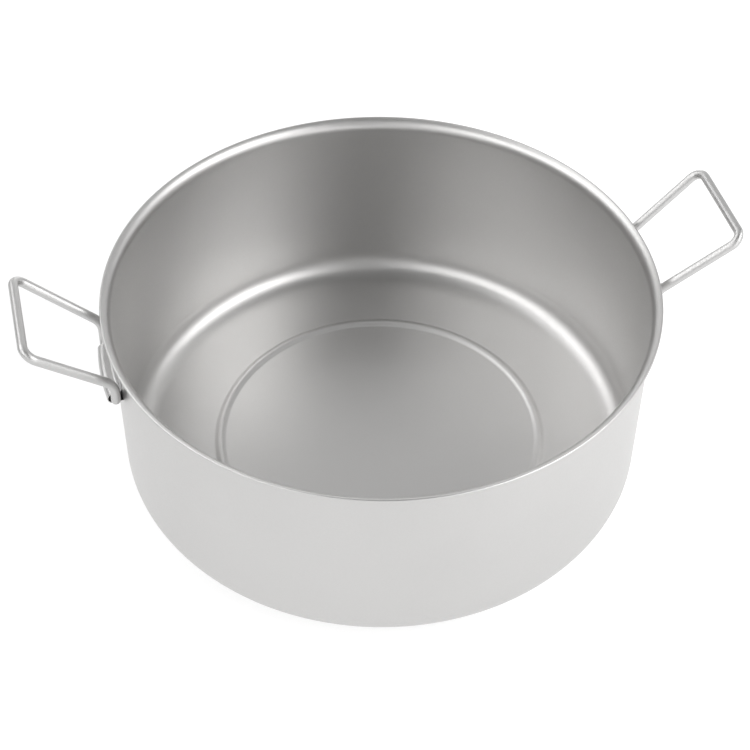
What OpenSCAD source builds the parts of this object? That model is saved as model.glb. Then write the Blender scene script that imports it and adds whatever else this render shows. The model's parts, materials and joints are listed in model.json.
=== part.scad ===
// Straight-walled stock pot with two folding wire handles.
// The pot stands on the plane z = 0 with its axis on Z. The handles fold about axes along Y, at +X and -X.

/* [Pot] */
// Diameter over the flared rim
rim_d = 236; // [200:2:320]
// Height from the table to the top of the rim
pot_h = 91.9; // [80:0.1:180]
// How far the rim stands out past the wall
rim_out = 3.5; // [3.2:0.1:5]
// Radius of the bead that closes the rim
bead_r = 0.6; // [0.6:0.1:1.2]
// Thickness of the drawn sheet
sheet_t = 0.8; // [0.6:0.1:1.1]
// Outside radius of the bend between wall and base
corner_r = 12; // [6:0.5:20]
// Middle radius of the ring pressed up into the base
ring_r = 73; // [50:1:80]
// Width of the pressed ring
ring_w = 6; // [4:0.5:10]
// Height of the pressed ring
ring_h = 0.9; // [0.4:0.1:1.5]

/* [Handle] */
// Diameter of the handle wire
wire_d = 4; // [3:0.5:5]
// Length of the outer bar between the middles of its corners
bar_len = 47.5; // [44:0.1:70]
// Length of each sloping leg, seen from the side
leg_len = 43.7; // [36:0.1:60]
// Slope of the legs above level, in degrees
leg_tilt = 39.6; // [30:0.1:50]
// Height of the upright cranks, from the hinge axis to the foot of the legs
crank_h = 11.5; // [10:0.5:14]
// Distance between the middles of the two cranks
crank_span = 37.8; // [37.6:0.2:42]
// Bend radius at the ends of the bar, at the middle of the wire
bar_bend_r = 5; // [4:0.5:8]
// Bend radius from the cranks into the legs, at the middle of the wire
knee_bend_r = 9; // [4:0.5:10]
// Bend radius from the hinge axis into the cranks, at the middle of the wire
foot_bend_r = 4.8; // [4:0.1:5]
// How much higher than the right handle the left one stands, in degrees
left_lift = 1.2; // [0:0.1:6]

/* [Hinge] */
// Depth of the hinge axis below the top of the rim
hinge_drop = 23.7; // [20:0.1:40]
// Gap between the wire and the pot wall
wall_gap = 0.3; // [0.2:0.05:1]
// Length of the sheet strap that holds the wire
strap_len = 30.6; // [24:0.2:31]
// Thickness of the strap
strap_t = 0.4; // [0.3:0.1:0.8]
// How far the strap reaches out from the wall
strap_reach = 6.6; // [5.8:0.1:8]
// Height of the welded flange above the strap's loop
flange_h = 9; // [5:0.5:12]

/* [Hidden] */

rim_r = rim_d / 2;
wall_r = rim_r - rim_out;                    // outside of the wall
hinge_x = wall_r + wall_gap + wire_d / 2;     // the hinge axes lie at +hinge_x and -hinge_x, at height hinge_z
hinge_z = pot_h - hinge_drop;
slot_h = wire_d + 0.9;                       // height inside the strap's loop
nose_x = wall_r + strap_reach - strap_t - slot_h / 2;
stub_gap = 3;                                // between the two wire ends inside the strap
bead_x = rim_r - bead_r;                     // middle of the bead's section
bead_z = pot_h - bead_r;
flare_turn = 65;                             // how far the wall has turned outwards where it meets the bead, in degrees
flare_r = (rim_out + sheet_t - bead_r * (1 + cos(flare_turn))) / (1 - cos(flare_turn));   // inside of the flare
flare_x = wall_r - sheet_t + flare_r;
flare_z = bead_z - (flare_r - bead_r) * sin(flare_turn);
under_r = flare_r - sheet_t;                 // underside of the flare, which runs into the bead
joint_d = wire_d + 0.04;                     // balls that close the joints of the straights and bends
joint_lap = 0.15;                            // how far a straight runs into the ball and past it
arc_steps = 12;
lip_steps = 6;
wire_facets = 40;

// Points on an arc from angle a0 to a1, in the plane of a profile.
function arc(x, z, r, a0, a1, steps = arc_steps) =
    [for (i = [0:steps]) let (a = a0 + (a1 - a0) * i / steps) [x + r * cos(a), z + r * sin(a)]];

// Rise of the base at radius r: a smooth ridge across the pressed ring.
function ring_rise(r) = ring_h * (1 + cos(360 * (r - ring_r) / ring_w)) / 2;
function ring_points(level, sign) =
    [for (i = [-arc_steps / 2:arc_steps / 2])
        let (r = ring_r + sign * i * ring_w / arc_steps) [r, level + ring_rise(r)]];

// Angle, seen from the middle of the flare, between the bead and the place where the underside meets it.
function under_angle() = let (gap = flare_r - bead_r)
    acos((gap * gap + under_r * under_r - bead_r * bead_r) / (2 * gap * under_r));

// Direction of that same place, seen from the middle of the bead.
function bead_angle() = let (a = 180 - flare_turn + under_angle())
    (atan2(flare_z + under_r * sin(a) - bead_z, flare_x + under_r * cos(a) - bead_x) + 360) % 360 - 360;

// Half section of the shell: up the outside, over the rim and down the inside.
function shell_profile() = concat(
    [[0, 0]],
    ring_points(0, 1),
    arc(wall_r - corner_r, corner_r, corner_r, -90, 0),
    arc(flare_x, flare_z, under_r, 180, 180 - flare_turn + under_angle()),
    arc(bead_x, bead_z, bead_r, bead_angle(), 180 - flare_turn, arc_steps * 2),
    arc(flare_x, flare_z, flare_r, 180 - flare_turn, 180),
    arc(wall_r - corner_r, corner_r, corner_r - sheet_t, 0, -90),
    ring_points(sheet_t, -1),
    [[0, sheet_t]]);

// Section of the strap: flange on the wall, out over the wire, round the nose and back to the wall.
function strap_profile() = let (
        top = hinge_z + slot_h / 2,
        bottom = hinge_z - slot_h / 2,
        fold_r = 1.6,
        flange_x = wall_r + strap_t) concat(
    [[wall_r, bottom - strap_t]],
    arc(nose_x, hinge_z, slot_h / 2 + strap_t, -90, 90),
    arc(flange_x + fold_r, top + strap_t + fold_r, fold_r, 270, 180, lip_steps),
    [[flange_x, top + strap_t + flange_h], [wall_r, top + strap_t + flange_h]],
    arc(flange_x + fold_r, top + strap_t + fold_r, fold_r + strap_t, 180, 270, lip_steps),
    arc(nose_x, hinge_z, slot_h / 2, 90, -90),
    [[wall_r, bottom]]);

// Middle line of the handle wire about its hinge axis, from the one end inside the strap to the other.
function handle_path() = let (
        foot = [0, crank_span / 2, 0],
        knee = foot + [0, 0, crank_h],
        tip = [leg_len * cos(leg_tilt), bar_len / 2, knee[2] + leg_len * sin(leg_tilt)],
        flip = [[1, 0, 0], [0, -1, 0], [0, 0, 1]]) [
    [0, stub_gap / 2, 0], foot, knee, tip,
    flip * tip, flip * knee, flip * foot, [0, -stub_gap / 2, 0]];

function unit(v) = v / norm(v);

// Frame with its Z axis along z_dir and its X axis along x_dir, placed at a point.
module place(at, x_dir, z_dir) {
    y_dir = cross(z_dir, x_dir);
    multmatrix([
        [x_dir[0], y_dir[0], z_dir[0], at[0]],
        [x_dir[1], y_dir[1], z_dir[1], at[1]],
        [x_dir[2], y_dir[2], z_dir[2], at[2]],
        [0, 0, 0, 1]]) children();
}

// Round wire through the points, with a true bend of radius bends[i] at each inner point.
// A ball a hair fatter than the wire covers each joint of a straight and a bend, so that they join into one solid.
module bent_wire(points, bends, d) {
    last = len(points) - 1;
    dirs = [for (i = [0:last - 1]) unit(points[i + 1] - points[i])];
    turns = [for (i = [0:last]) i == 0 || i == last ? 0 : acos(dirs[i - 1] * dirs[i])];
    cuts = [for (i = [0:last]) turns[i] == 0 ? 0 : bends[i] * tan(turns[i] / 2)];
    for (i = [0:last - 1]) {
        side = unit(cross(dirs[i], i == 0 ? dirs[i + 1] : dirs[i - 1]));
        start = i == 0 ? 0 : cuts[i] - joint_lap;
        stop = norm(points[i + 1] - points[i]) - (i == last - 1 ? 0 : cuts[i + 1] - joint_lap);
        place(points[i] + dirs[i] * start, side, dirs[i])
            cylinder(d = d, h = stop - start, $fn = wire_facets);
    }
    for (i = [1:last - 1]) {
        normal = unit(cross(dirs[i - 1], dirs[i]));
        out = cross(dirs[i - 1], normal);
        centre = points[i] - dirs[i - 1] * cuts[i] - out * bends[i];
        place(centre, out, normal)
            rotate_extrude(angle = turns[i], $fn = wire_facets * 2)
                translate([bends[i], 0]) circle(d = d, $fn = wire_facets);
        for (end = [-dirs[i - 1], dirs[i]])
            translate(points[i] + end * cuts[i]) sphere(d = joint_d, $fn = wire_facets);
    }
}

module pot_body() {
    color([0.74, 0.74, 0.73])
        rotate_extrude($fn = 180) polygon(shell_profile());
}

module clip() {
    half_angle = asin(strap_len / 2 / (wall_r + strap_reach));
    color([0.82, 0.82, 0.82])
        rotate([0, 0, -half_angle])
            rotate_extrude(angle = 2 * half_angle, $fn = 360) polygon(strap_profile());
}

module handle(lift = 0) {
    bends = [0, foot_bend_r, knee_bend_r, bar_bend_r, bar_bend_r, knee_bend_r, foot_bend_r, 0];
    color([0.86, 0.86, 0.86])
        translate([hinge_x, 0, hinge_z]) rotate([0, -lift, 0]) bent_wire(handle_path(), bends, wire_d);
}

module clip_right() {
    clip();
}

module clip_left() {
    rotate([0, 0, 180]) clip();
}

module handle_right() {
    handle();
}

module handle_left() {
    rotate([0, 0, 180]) handle(left_lift);
}

pot_body();
clip_right();
clip_left();
handle_right();
handle_left();
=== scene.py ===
"""Satin metal stock pot with two folding wire handles, on a plain white studio floor."""

import json
from math import acos, asin, atan2, cos, degrees, pi, radians, sin, tan

import bmesh
import bpy
from mathutils import Matrix, Vector


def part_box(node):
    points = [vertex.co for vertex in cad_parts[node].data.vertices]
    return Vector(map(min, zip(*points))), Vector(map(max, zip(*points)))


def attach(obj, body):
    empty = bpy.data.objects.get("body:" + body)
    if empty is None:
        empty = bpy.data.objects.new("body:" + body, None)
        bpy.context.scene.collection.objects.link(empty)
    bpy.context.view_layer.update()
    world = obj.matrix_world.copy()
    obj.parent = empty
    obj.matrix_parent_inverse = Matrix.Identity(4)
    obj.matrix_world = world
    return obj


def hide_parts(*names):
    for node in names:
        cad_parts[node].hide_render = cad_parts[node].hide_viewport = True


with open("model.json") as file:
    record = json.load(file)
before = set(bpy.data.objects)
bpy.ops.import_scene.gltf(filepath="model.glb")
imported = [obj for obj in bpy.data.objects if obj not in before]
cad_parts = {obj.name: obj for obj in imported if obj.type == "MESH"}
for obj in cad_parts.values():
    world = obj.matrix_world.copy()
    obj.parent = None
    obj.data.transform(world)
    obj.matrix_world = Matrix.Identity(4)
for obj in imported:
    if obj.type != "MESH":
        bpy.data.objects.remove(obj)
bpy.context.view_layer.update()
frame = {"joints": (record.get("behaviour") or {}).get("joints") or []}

MM = 0.001

# Sizes the frame doesn't give, as the CAD has them
RIM_OUT = 3.5 * MM          # how far the rim stands out past the wall
SHEET = 0.8 * MM
CORNER_R = 12 * MM          # outside bend between wall and base
FLARE_TURN = 65             # degrees the wall has turned outwards where it meets the bead
BEAD_R = 0.6 * MM           # bead that closes the rim
RING_R = 73 * MM            # ring pressed up into the base
RING_W = 6 * MM
RING_H = 0.9 * MM
WIRE_R = 2 * MM
CRANK_SPAN = 37.8 * MM
BAR_LEN = 47.5 * MM
LEG_LEN = 43.7 * MM
LEG_TILT = radians(39.6)
CRANK_H = 11.5 * MM
LEFT_LIFT = radians(1.2)    # the left handle stands this much higher
STUB_GAP = 3 * MM           # between the two wire ends inside a strap
FOOT_BEND = 4.8 * MM        # wire bends: out of the strap, into the leg, into the bar
KNEE_BEND = 9 * MM
BAR_BEND = 5 * MM
STRAP_T = 0.4 * MM
STRAP_REACH = 6.6 * MM
STRAP_LEN = 30.6 * MM
SLOT_H = 4.9 * MM           # height inside a strap's loop
FLANGE_H = 9 * MM
FOLD_R = 1.6 * MM

shell_low, shell_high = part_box("pot_body")
RIM_R = shell_high.x
POT_H = shell_high.z
WALL_R = RIM_R - RIM_OUT
HINGES = {j["child"]: Vector(j["pos_m"]) for j in frame["joints"]}


# ---------------------------------------------------------------- mesh helpers

def arc(x, z, r, a0, a1, steps):
    """Points on an arc in the plane of a profile, with angles in degrees."""
    angles = [radians(a0 + (a1 - a0) * i / steps) for i in range(steps + 1)]
    return [(x + r * cos(a), z + r * sin(a)) for a in angles]


def filled(points, step):
    """The same outline with extra points, so that no straight stretch is longer than step."""
    out = []
    for (x0, z0), (x1, z1) in zip(points, points[1:]):
        n = max(1, round(((x1 - x0) ** 2 + (z1 - z0) ** 2) ** 0.5 / step))
        out += [(x0 + (x1 - x0) * i / n, z0 + (z1 - z0) * i / n) for i in range(n)]
    return out + [points[-1]]


def new_object(name, verts, faces, body, node):
    """A smooth-shaded mesh that rides on a body and stands for a CAD node."""
    mesh = bpy.data.meshes.new(name)
    mesh.from_pydata(verts, [], faces)
    mesh.validate()
    bm = bmesh.new()
    bm.from_mesh(mesh)
    bmesh.ops.remove_doubles(bm, verts=bm.verts, dist=1e-7)
    bmesh.ops.recalc_face_normals(bm, faces=bm.faces)
    bm.to_mesh(mesh)
    bm.free()
    mesh.shade_smooth()
    obj = bpy.data.objects.new(name, mesh)
    bpy.context.scene.collection.objects.link(obj)
    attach(obj, body)
    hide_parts(node)
    return obj


def even_normals(obj):
    """Shade by the larger faces, so that flat stretches look flat beside the bends."""
    weighted = obj.modifiers.new("even_normals", "WEIGHTED_NORMAL")
    weighted.keep_sharp = True


def lathe(profile, around):
    """Vertices and quads of a profile turned all the way round Z; new_object merges those on the axis."""
    verts, faces = [], []
    n = len(profile)
    for k in range(around):
        a = 2 * pi * k / around
        verts += [(x * cos(a), x * sin(a), z) for x, z in profile]
    for k in range(around):
        here, there = k * n, (k + 1) % around * n
        for i in range(n - 1):
            faces.append((here + i, there + i, there + i + 1, here + i + 1))
    return verts, faces


# ---------------------------------------------------------------- pot body

def ring_points(level, outward):
    """Section of the pressed ring, on the inside or the outside of the base."""
    steps = 24
    out = []
    for i in range(steps + 1):
        r = RING_R + (1 if outward else -1) * (i / steps - 0.5) * RING_W
        out.append((r, level + RING_H * (1 + cos(2 * pi * (r - RING_R) / RING_W)) / 2))
    return out


def build_pot():
    """The shell, turned in one piece, with a bead at the rim that the flare runs into from both sides."""
    turn = radians(FLARE_TURN)
    bead_x, bead_z = RIM_R - BEAD_R, POT_H - BEAD_R
    flare_r = (RIM_OUT + SHEET - BEAD_R * (1 + cos(turn))) / (1 - cos(turn))
    flare_x, flare_z = WALL_R - SHEET + flare_r, bead_z - (flare_r - BEAD_R) * sin(turn)
    under_r, gap = flare_r - SHEET, flare_r - BEAD_R
    meet = acos((gap * gap + under_r * under_r - BEAD_R * BEAD_R) / (2 * gap * under_r))
    under = arc(flare_x, flare_z, under_r, 180, 180 - FLARE_TURN + degrees(meet), 12)
    start = degrees(atan2(under[-1][1] - bead_z, under[-1][0] - bead_x))
    outline = (
        [(0, 0)]
        + ring_points(0, True)
        + arc(WALL_R - CORNER_R, CORNER_R, CORNER_R, -90, 0, 20)
        + under
        + arc(bead_x, bead_z, BEAD_R, start % 360 - 360, 180 - FLARE_TURN, 32)
        + arc(flare_x, flare_z, flare_r, 180 - FLARE_TURN, 180, 16)
        + arc(WALL_R - CORNER_R, CORNER_R, CORNER_R - SHEET, 0, -90, 20)
        + ring_points(SHEET, False)
        + [(0, SHEET)]
    )
    verts, faces = lathe(filled(outline, 5 * MM), 288)
    pot = new_object("pot_shell", verts, faces, "pot", "pot_body")
    even_normals(pot)
    return pot


# ---------------------------------------------------------------- straps

def build_strap(side):
    """A sheet strap on the wall: flange above, loop round the wire below."""
    hinge = HINGES[side + "_handle"]
    top, bottom = hinge.z + SLOT_H / 2, hinge.z - SLOT_H / 2
    nose_x = WALL_R + STRAP_REACH - STRAP_T - SLOT_H / 2
    face_x = WALL_R + STRAP_T
    fold_x, fold_z = face_x + FOLD_R, top + STRAP_T + FOLD_R
    flange_top = top + STRAP_T + FLANGE_H
    section = (
        [(WALL_R, bottom - STRAP_T)]
        + arc(nose_x, hinge.z, SLOT_H / 2 + STRAP_T, -90, 90, 24)
        + arc(fold_x, fold_z, FOLD_R, 270, 180, 8)
        + [(face_x, flange_top), (WALL_R, flange_top)]
        + arc(fold_x, fold_z, FOLD_R + STRAP_T, 180, 270, 8)
        + arc(nose_x, hinge.z, SLOT_H / 2, 90, -90, 24)
        + [(WALL_R, bottom)]
    )
    half = asin(STRAP_LEN / 2 / (WALL_R + STRAP_REACH))
    middle = 0 if hinge.x > 0 else pi
    steps = 20
    verts, faces = [], []
    n = len(section)
    for k in range(steps + 1):
        a = middle - half + 2 * half * k / steps
        verts += [(x * cos(a), x * sin(a), z) for x, z in section]
    for k in range(steps):
        for i in range(n):
            j = (i + 1) % n
            faces.append((k * n + i, (k + 1) * n + i, (k + 1) * n + j, k * n + j))
    faces += [tuple(range(n)), tuple(reversed(range(steps * n, (steps + 1) * n)))]
    strap = new_object("hinge_strap_" + side, verts, faces, "pot", "clip_" + side)
    bevel = strap.modifiers.new("worn_edges", "BEVEL")
    bevel.width = 0.1 * MM
    bevel.segments = 2
    bevel.limit_method = "ANGLE"
    bevel.angle_limit = radians(50)
    bevel.harden_normals = True
    even_normals(strap)
    return strap


# ---------------------------------------------------------------- handles

def rounded_path(corners, bends, steps):
    """A polyline whose corners are true bends: bends[i] is the radius at corner i, 0 at the ends."""
    path = [corners[0]]
    for before, at, after, r in zip(corners, corners[1:], corners[2:], bends[1:]):
        d_in, d_out = (at - before).normalized(), (after - at).normalized()
        turn = acos(d_in.dot(d_out))
        start = at - d_in * r * tan(turn / 2)
        inward = (d_out - d_in * d_in.dot(d_out)).normalized()
        centre = start + inward * r
        for i in range(steps + 1):
            a = turn * i / steps
            path.append(centre - inward * r * cos(a) + d_in * r * sin(a))
    return path + [corners[-1]]


def with_spans(path, step):
    """The same path with extra points, so that no straight stretch is longer than step."""
    out = []
    for a, b in zip(path, path[1:]):
        n = max(1, round((b - a).length / step))
        out += [a.lerp(b, i / n) for i in range(n)]
    return out + [path[-1]]


def sweep(path, radii, sides):
    """Vertices and faces of a round wire along a path, with a frame that doesn't twist."""
    tangents = []
    for i in range(len(path)):
        a, b = path[max(i - 1, 0)], path[min(i + 1, len(path) - 1)]
        tangents.append((b - a).normalized())
    side = tangents[0].orthogonal().normalized()
    verts, faces = [], []
    for p, t, r in zip(path, tangents, radii):
        side = (side - t * side.dot(t)).normalized()
        other = t.cross(side)
        for k in range(sides):
            a = 2 * pi * k / sides
            verts.append(p + side * r * cos(a) + other * r * sin(a))
    for i in range(len(path) - 1):
        for k in range(sides):
            j = (k + 1) % sides
            faces.append((i * sides + k, i * sides + j, (i + 1) * sides + j, (i + 1) * sides + k))
    last = (len(path) - 1) * sides
    faces += [tuple(reversed(range(sides))), tuple(range(last, last + sides))]
    return verts, faces


def build_handle(side):
    """One bent wire, from its end inside the strap out to the bar and back."""
    body = side + "_handle"
    hinge = HINGES[body]
    half = [
        Vector((0, STUB_GAP / 2, 0)),
        Vector((0, CRANK_SPAN / 2, 0)),
        Vector((0, CRANK_SPAN / 2, CRANK_H)),
        Vector((LEG_LEN * cos(LEG_TILT), BAR_LEN / 2, CRANK_H + LEG_LEN * sin(LEG_TILT))),
    ]
    corners = half + [Vector((p.x, -p.y, p.z)) for p in reversed(half)]
    if side == "left":
        turn = Matrix.Rotation(pi, 3, "Z") @ Matrix.Rotation(-LEFT_LIFT, 3, "Y")
        corners = [turn @ p for p in corners]
    corners = [p + hinge for p in corners]
    bends = [0, FOOT_BEND, KNEE_BEND, BAR_BEND, BAR_BEND, KNEE_BEND, FOOT_BEND, 0]
    path = with_spans(rounded_path(corners, bends, 14), 3 * MM)
    chamfer = 0.4 * MM
    d0 = (path[1] - path[0]).normalized()
    d1 = (path[-2] - path[-1]).normalized()
    path = [path[0], path[0] + d0 * chamfer] + path[1:-1] + [path[-1] + d1 * chamfer, path[-1]]
    radii = [WIRE_R - chamfer] + [WIRE_R] * (len(path) - 2) + [WIRE_R - chamfer]
    verts, faces = sweep(path, radii, 32)
    handle = new_object("wire_handle_" + side, verts, faces, body, "handle_" + side)
    even_normals(handle)
    return handle


# ---------------------------------------------------------------- materials

def metal(name, colour, roughness, grain_scale, grain_bump, cloud, rough_swing):
    """Satin metal: fine blasted grain in the bump, soft clouds in the colour and roughness."""
    mat = bpy.data.materials.new(name)
    mat.use_nodes = True
    nt = mat.node_tree
    nodes, links = nt.nodes, nt.links
    bsdf = nodes["Principled BSDF"]
    bsdf.inputs["Metallic"].default_value = 1.0
    coords = nodes.new("ShaderNodeTexCoord")

    def noise(scale, detail, rough=0.5):
        n = nodes.new("ShaderNodeTexNoise")
        n.inputs["Scale"].default_value = scale
        n.inputs["Detail"].default_value = detail
        n.inputs["Roughness"].default_value = rough
        links.new(coords.outputs["Object"], n.inputs["Vector"])
        return n

    clouds = noise(28, 3)
    shade = nodes.new("ShaderNodeMix")
    shade.data_type = "RGBA"
    shade.inputs["A"].default_value = (*[c * (1 - cloud) for c in colour], 1)
    shade.inputs["B"].default_value = (*[min(1, c * (1 + cloud)) for c in colour], 1)
    links.new(clouds.outputs["Fac"], shade.inputs["Factor"])
    links.new(shade.outputs["Result"], bsdf.inputs["Base Color"])

    speck = noise(grain_scale * 0.5, 2)
    rough = nodes.new("ShaderNodeMapRange")
    rough.inputs["From Min"].default_value = 0.3
    rough.inputs["From Max"].default_value = 0.7
    rough.inputs["To Min"].default_value = roughness - rough_swing
    rough.inputs["To Max"].default_value = roughness + rough_swing
    links.new(speck.outputs["Fac"], rough.inputs["Value"])
    links.new(rough.outputs["Result"], bsdf.inputs["Roughness"])

    grain = noise(grain_scale, 3, 0.6)
    bump = nodes.new("ShaderNodeBump")
    bump.inputs["Strength"].default_value = grain_bump
    bump.inputs["Distance"].default_value = 0.02 * MM
    links.new(grain.outputs["Fac"], bump.inputs["Height"])
    links.new(bump.outputs["Normal"], bsdf.inputs["Normal"])
    return mat


def paper_white_painted_glow(name, colour, glow, painted_glow_right, reach):
    """Paper that glows white, with painted light: a little more glow to the right of the pot, up to the
    full rise at reach.
    """
    mat = bpy.data.materials.new(name)
    mat.use_nodes = True
    nodes, links = mat.node_tree.nodes, mat.node_tree.links
    bsdf = nodes["Principled BSDF"]
    bsdf.inputs["Base Color"].default_value = (*colour, 1)
    bsdf.inputs["Roughness"].default_value = 0.9
    bsdf.inputs["Specular IOR Level"].default_value = 0.1
    bsdf.inputs["Emission Color"].default_value = (1, 1, 1, 1)
    coords = nodes.new("ShaderNodeTexCoord")
    split = nodes.new("ShaderNodeSeparateXYZ")
    links.new(coords.outputs["Object"], split.inputs["Vector"])
    # painted light: the glow grows from glow to the right of the pot
    rise = nodes.new("ShaderNodeMapRange")
    rise.inputs["From Min"].default_value = 0
    rise.inputs["From Max"].default_value = reach
    rise.inputs["To Min"].default_value = glow
    rise.inputs["To Max"].default_value = painted_glow_right
    links.new(split.outputs["X"], rise.inputs["Value"])
    links.new(rise.outputs["Result"], bsdf.inputs["Emission Strength"])
    return mat


# ---------------------------------------------------------------- the object

pot = build_pot()
straps = [build_strap(side) for side in ("right", "left")]
handles = [build_handle(side) for side in ("right", "left")]

blasted = metal(
    "blasted_metal", (0.605, 0.6, 0.594), roughness=0.42,
    grain_scale=2600, grain_bump=0.35, cloud=0.025, rough_swing=0.04,
)
sheet = metal(
    "strap_sheet", (0.58, 0.577, 0.573), roughness=0.44,
    grain_scale=2000, grain_bump=0.2, cloud=0.02, rough_swing=0.04,
)
wire = metal(
    "drawn_wire", (0.56, 0.557, 0.553), roughness=0.45,
    grain_scale=1500, grain_bump=0.15, cloud=0.02, rough_swing=0.03,
)
pot.data.materials.append(blasted)
for obj in straps:
    obj.data.materials.append(sheet)
for obj in handles:
    obj.data.materials.append(wire)


# ---------------------------------------------------------------- stage, light and camera

def build_floor():
    half = 14.0
    corners = [(-half, -half, 0), (half, -half, 0), (half, half, 0), (-half, half, 0)]
    mesh = bpy.data.meshes.new("floor")
    mesh.from_pydata(corners, [], [(0, 1, 2, 3)])
    floor = bpy.data.objects.new("floor", mesh)
    bpy.context.scene.collection.objects.link(floor)
    # The floor glows evenly white, with painted light on top: it glows more to the right of the pot than
    # to the left
    paper = paper_white_painted_glow("floor_white_painted_glow", (0.3, 0.3, 0.3), glow=0.76, painted_glow_right=0.93, reach=0.16)
    mesh.materials.append(paper)


def softbox(name, at, target, size, radiance):
    """A square softbox that faces the target."""
    light = bpy.data.lights.new(name, "AREA")
    light.shape = "SQUARE"
    light.size = size
    light.energy = pi * size * size * radiance
    obj = bpy.data.objects.new(name, light)
    bpy.context.scene.collection.objects.link(obj)
    obj.location = at
    obj.rotation_euler = (Vector(target) - Vector(at)).to_track_quat("-Z", "Y").to_euler()


VIEW_AZ = radians(-14.66)     # the camera stands this far round from straight in front


def seen_from_camera(right, back, up):
    """A place given in metres to the right of, behind and above the pot, as the camera sees it."""
    return Vector((
        right * cos(VIEW_AZ) - back * sin(VIEW_AZ),
        right * sin(VIEW_AZ) + back * cos(VIEW_AZ),
        up,
    ))


# Rings of softboxes round the pot: elevation in degrees, size in metres and the strength of each box,
# clockwise as the camera sees them, from the one straight behind the pot
LIGHT_RINGS = [
    (12, 0.7, [2.07, 0.81, 1.14, 0.38, 1.50, 2.33, 1.18, 0.96, 0, 0, 0, 0.95]),
    (38, 0.8, [0.58, 0.52, 0, 3.26, 4.22, 0.14, 0, 1.94, 2.49, 2.22, 2.46, 0.29]),
    (64, 0.8, [0.51, 0.33, 0, 0, 0, 1.25]),
]
LIGHT_DISTANCE = 1.6          # metres from the middle of the pot to each box


def build_light():
    world = bpy.data.worlds.new("studio")
    bpy.context.scene.world = world
    world.use_nodes = True
    background = world.node_tree.nodes["Background"]
    background.inputs["Color"].default_value = (1, 1, 1, 1)
    background.inputs["Strength"].default_value = 0.03
    target = (0, 0, 0.05)         # middle of the pot
    for elevation, size, strengths in LIGHT_RINGS:
        flat = LIGHT_DISTANCE * cos(radians(elevation))
        height = target[2] + LIGHT_DISTANCE * sin(radians(elevation))
        for i, strength in enumerate(strengths):
            a = 2 * pi * i / len(strengths)
            if strength > 0:
                at = seen_from_camera(flat * sin(a), flat * cos(a), height)
                softbox(f"softbox_{elevation}_{i}", at, target, size, strength)


def build_camera():
    sight_z = 91.5 * MM           # height of the point on the axis that the camera is set out from
    distance = 6.025 * RIM_R      # from that point
    stand = radians(42.56)        # elevation over that point
    look = radians(45.55)         # how far it looks down
    heading = radians(-14.40)
    roll = radians(0.49)
    data = bpy.data.cameras.new("camera")
    data.sensor_width = 36
    data.lens = 80.98
    data.clip_start = 0.05
    cam = bpy.data.objects.new("camera", data)
    bpy.context.scene.collection.objects.link(cam)
    place = seen_from_camera(0, -distance * cos(stand), sight_z + distance * sin(stand))
    turn = Matrix.Rotation(heading, 4, "Z") @ Matrix.Rotation(pi / 2 - look, 4, "X")
    cam.matrix_world = Matrix.Translation(place) @ turn @ Matrix.Rotation(roll, 4, "Z")
    bpy.context.scene.camera = cam


build_floor()
build_light()
build_camera()
bpy.context.scene.view_settings.view_transform = "Standard"
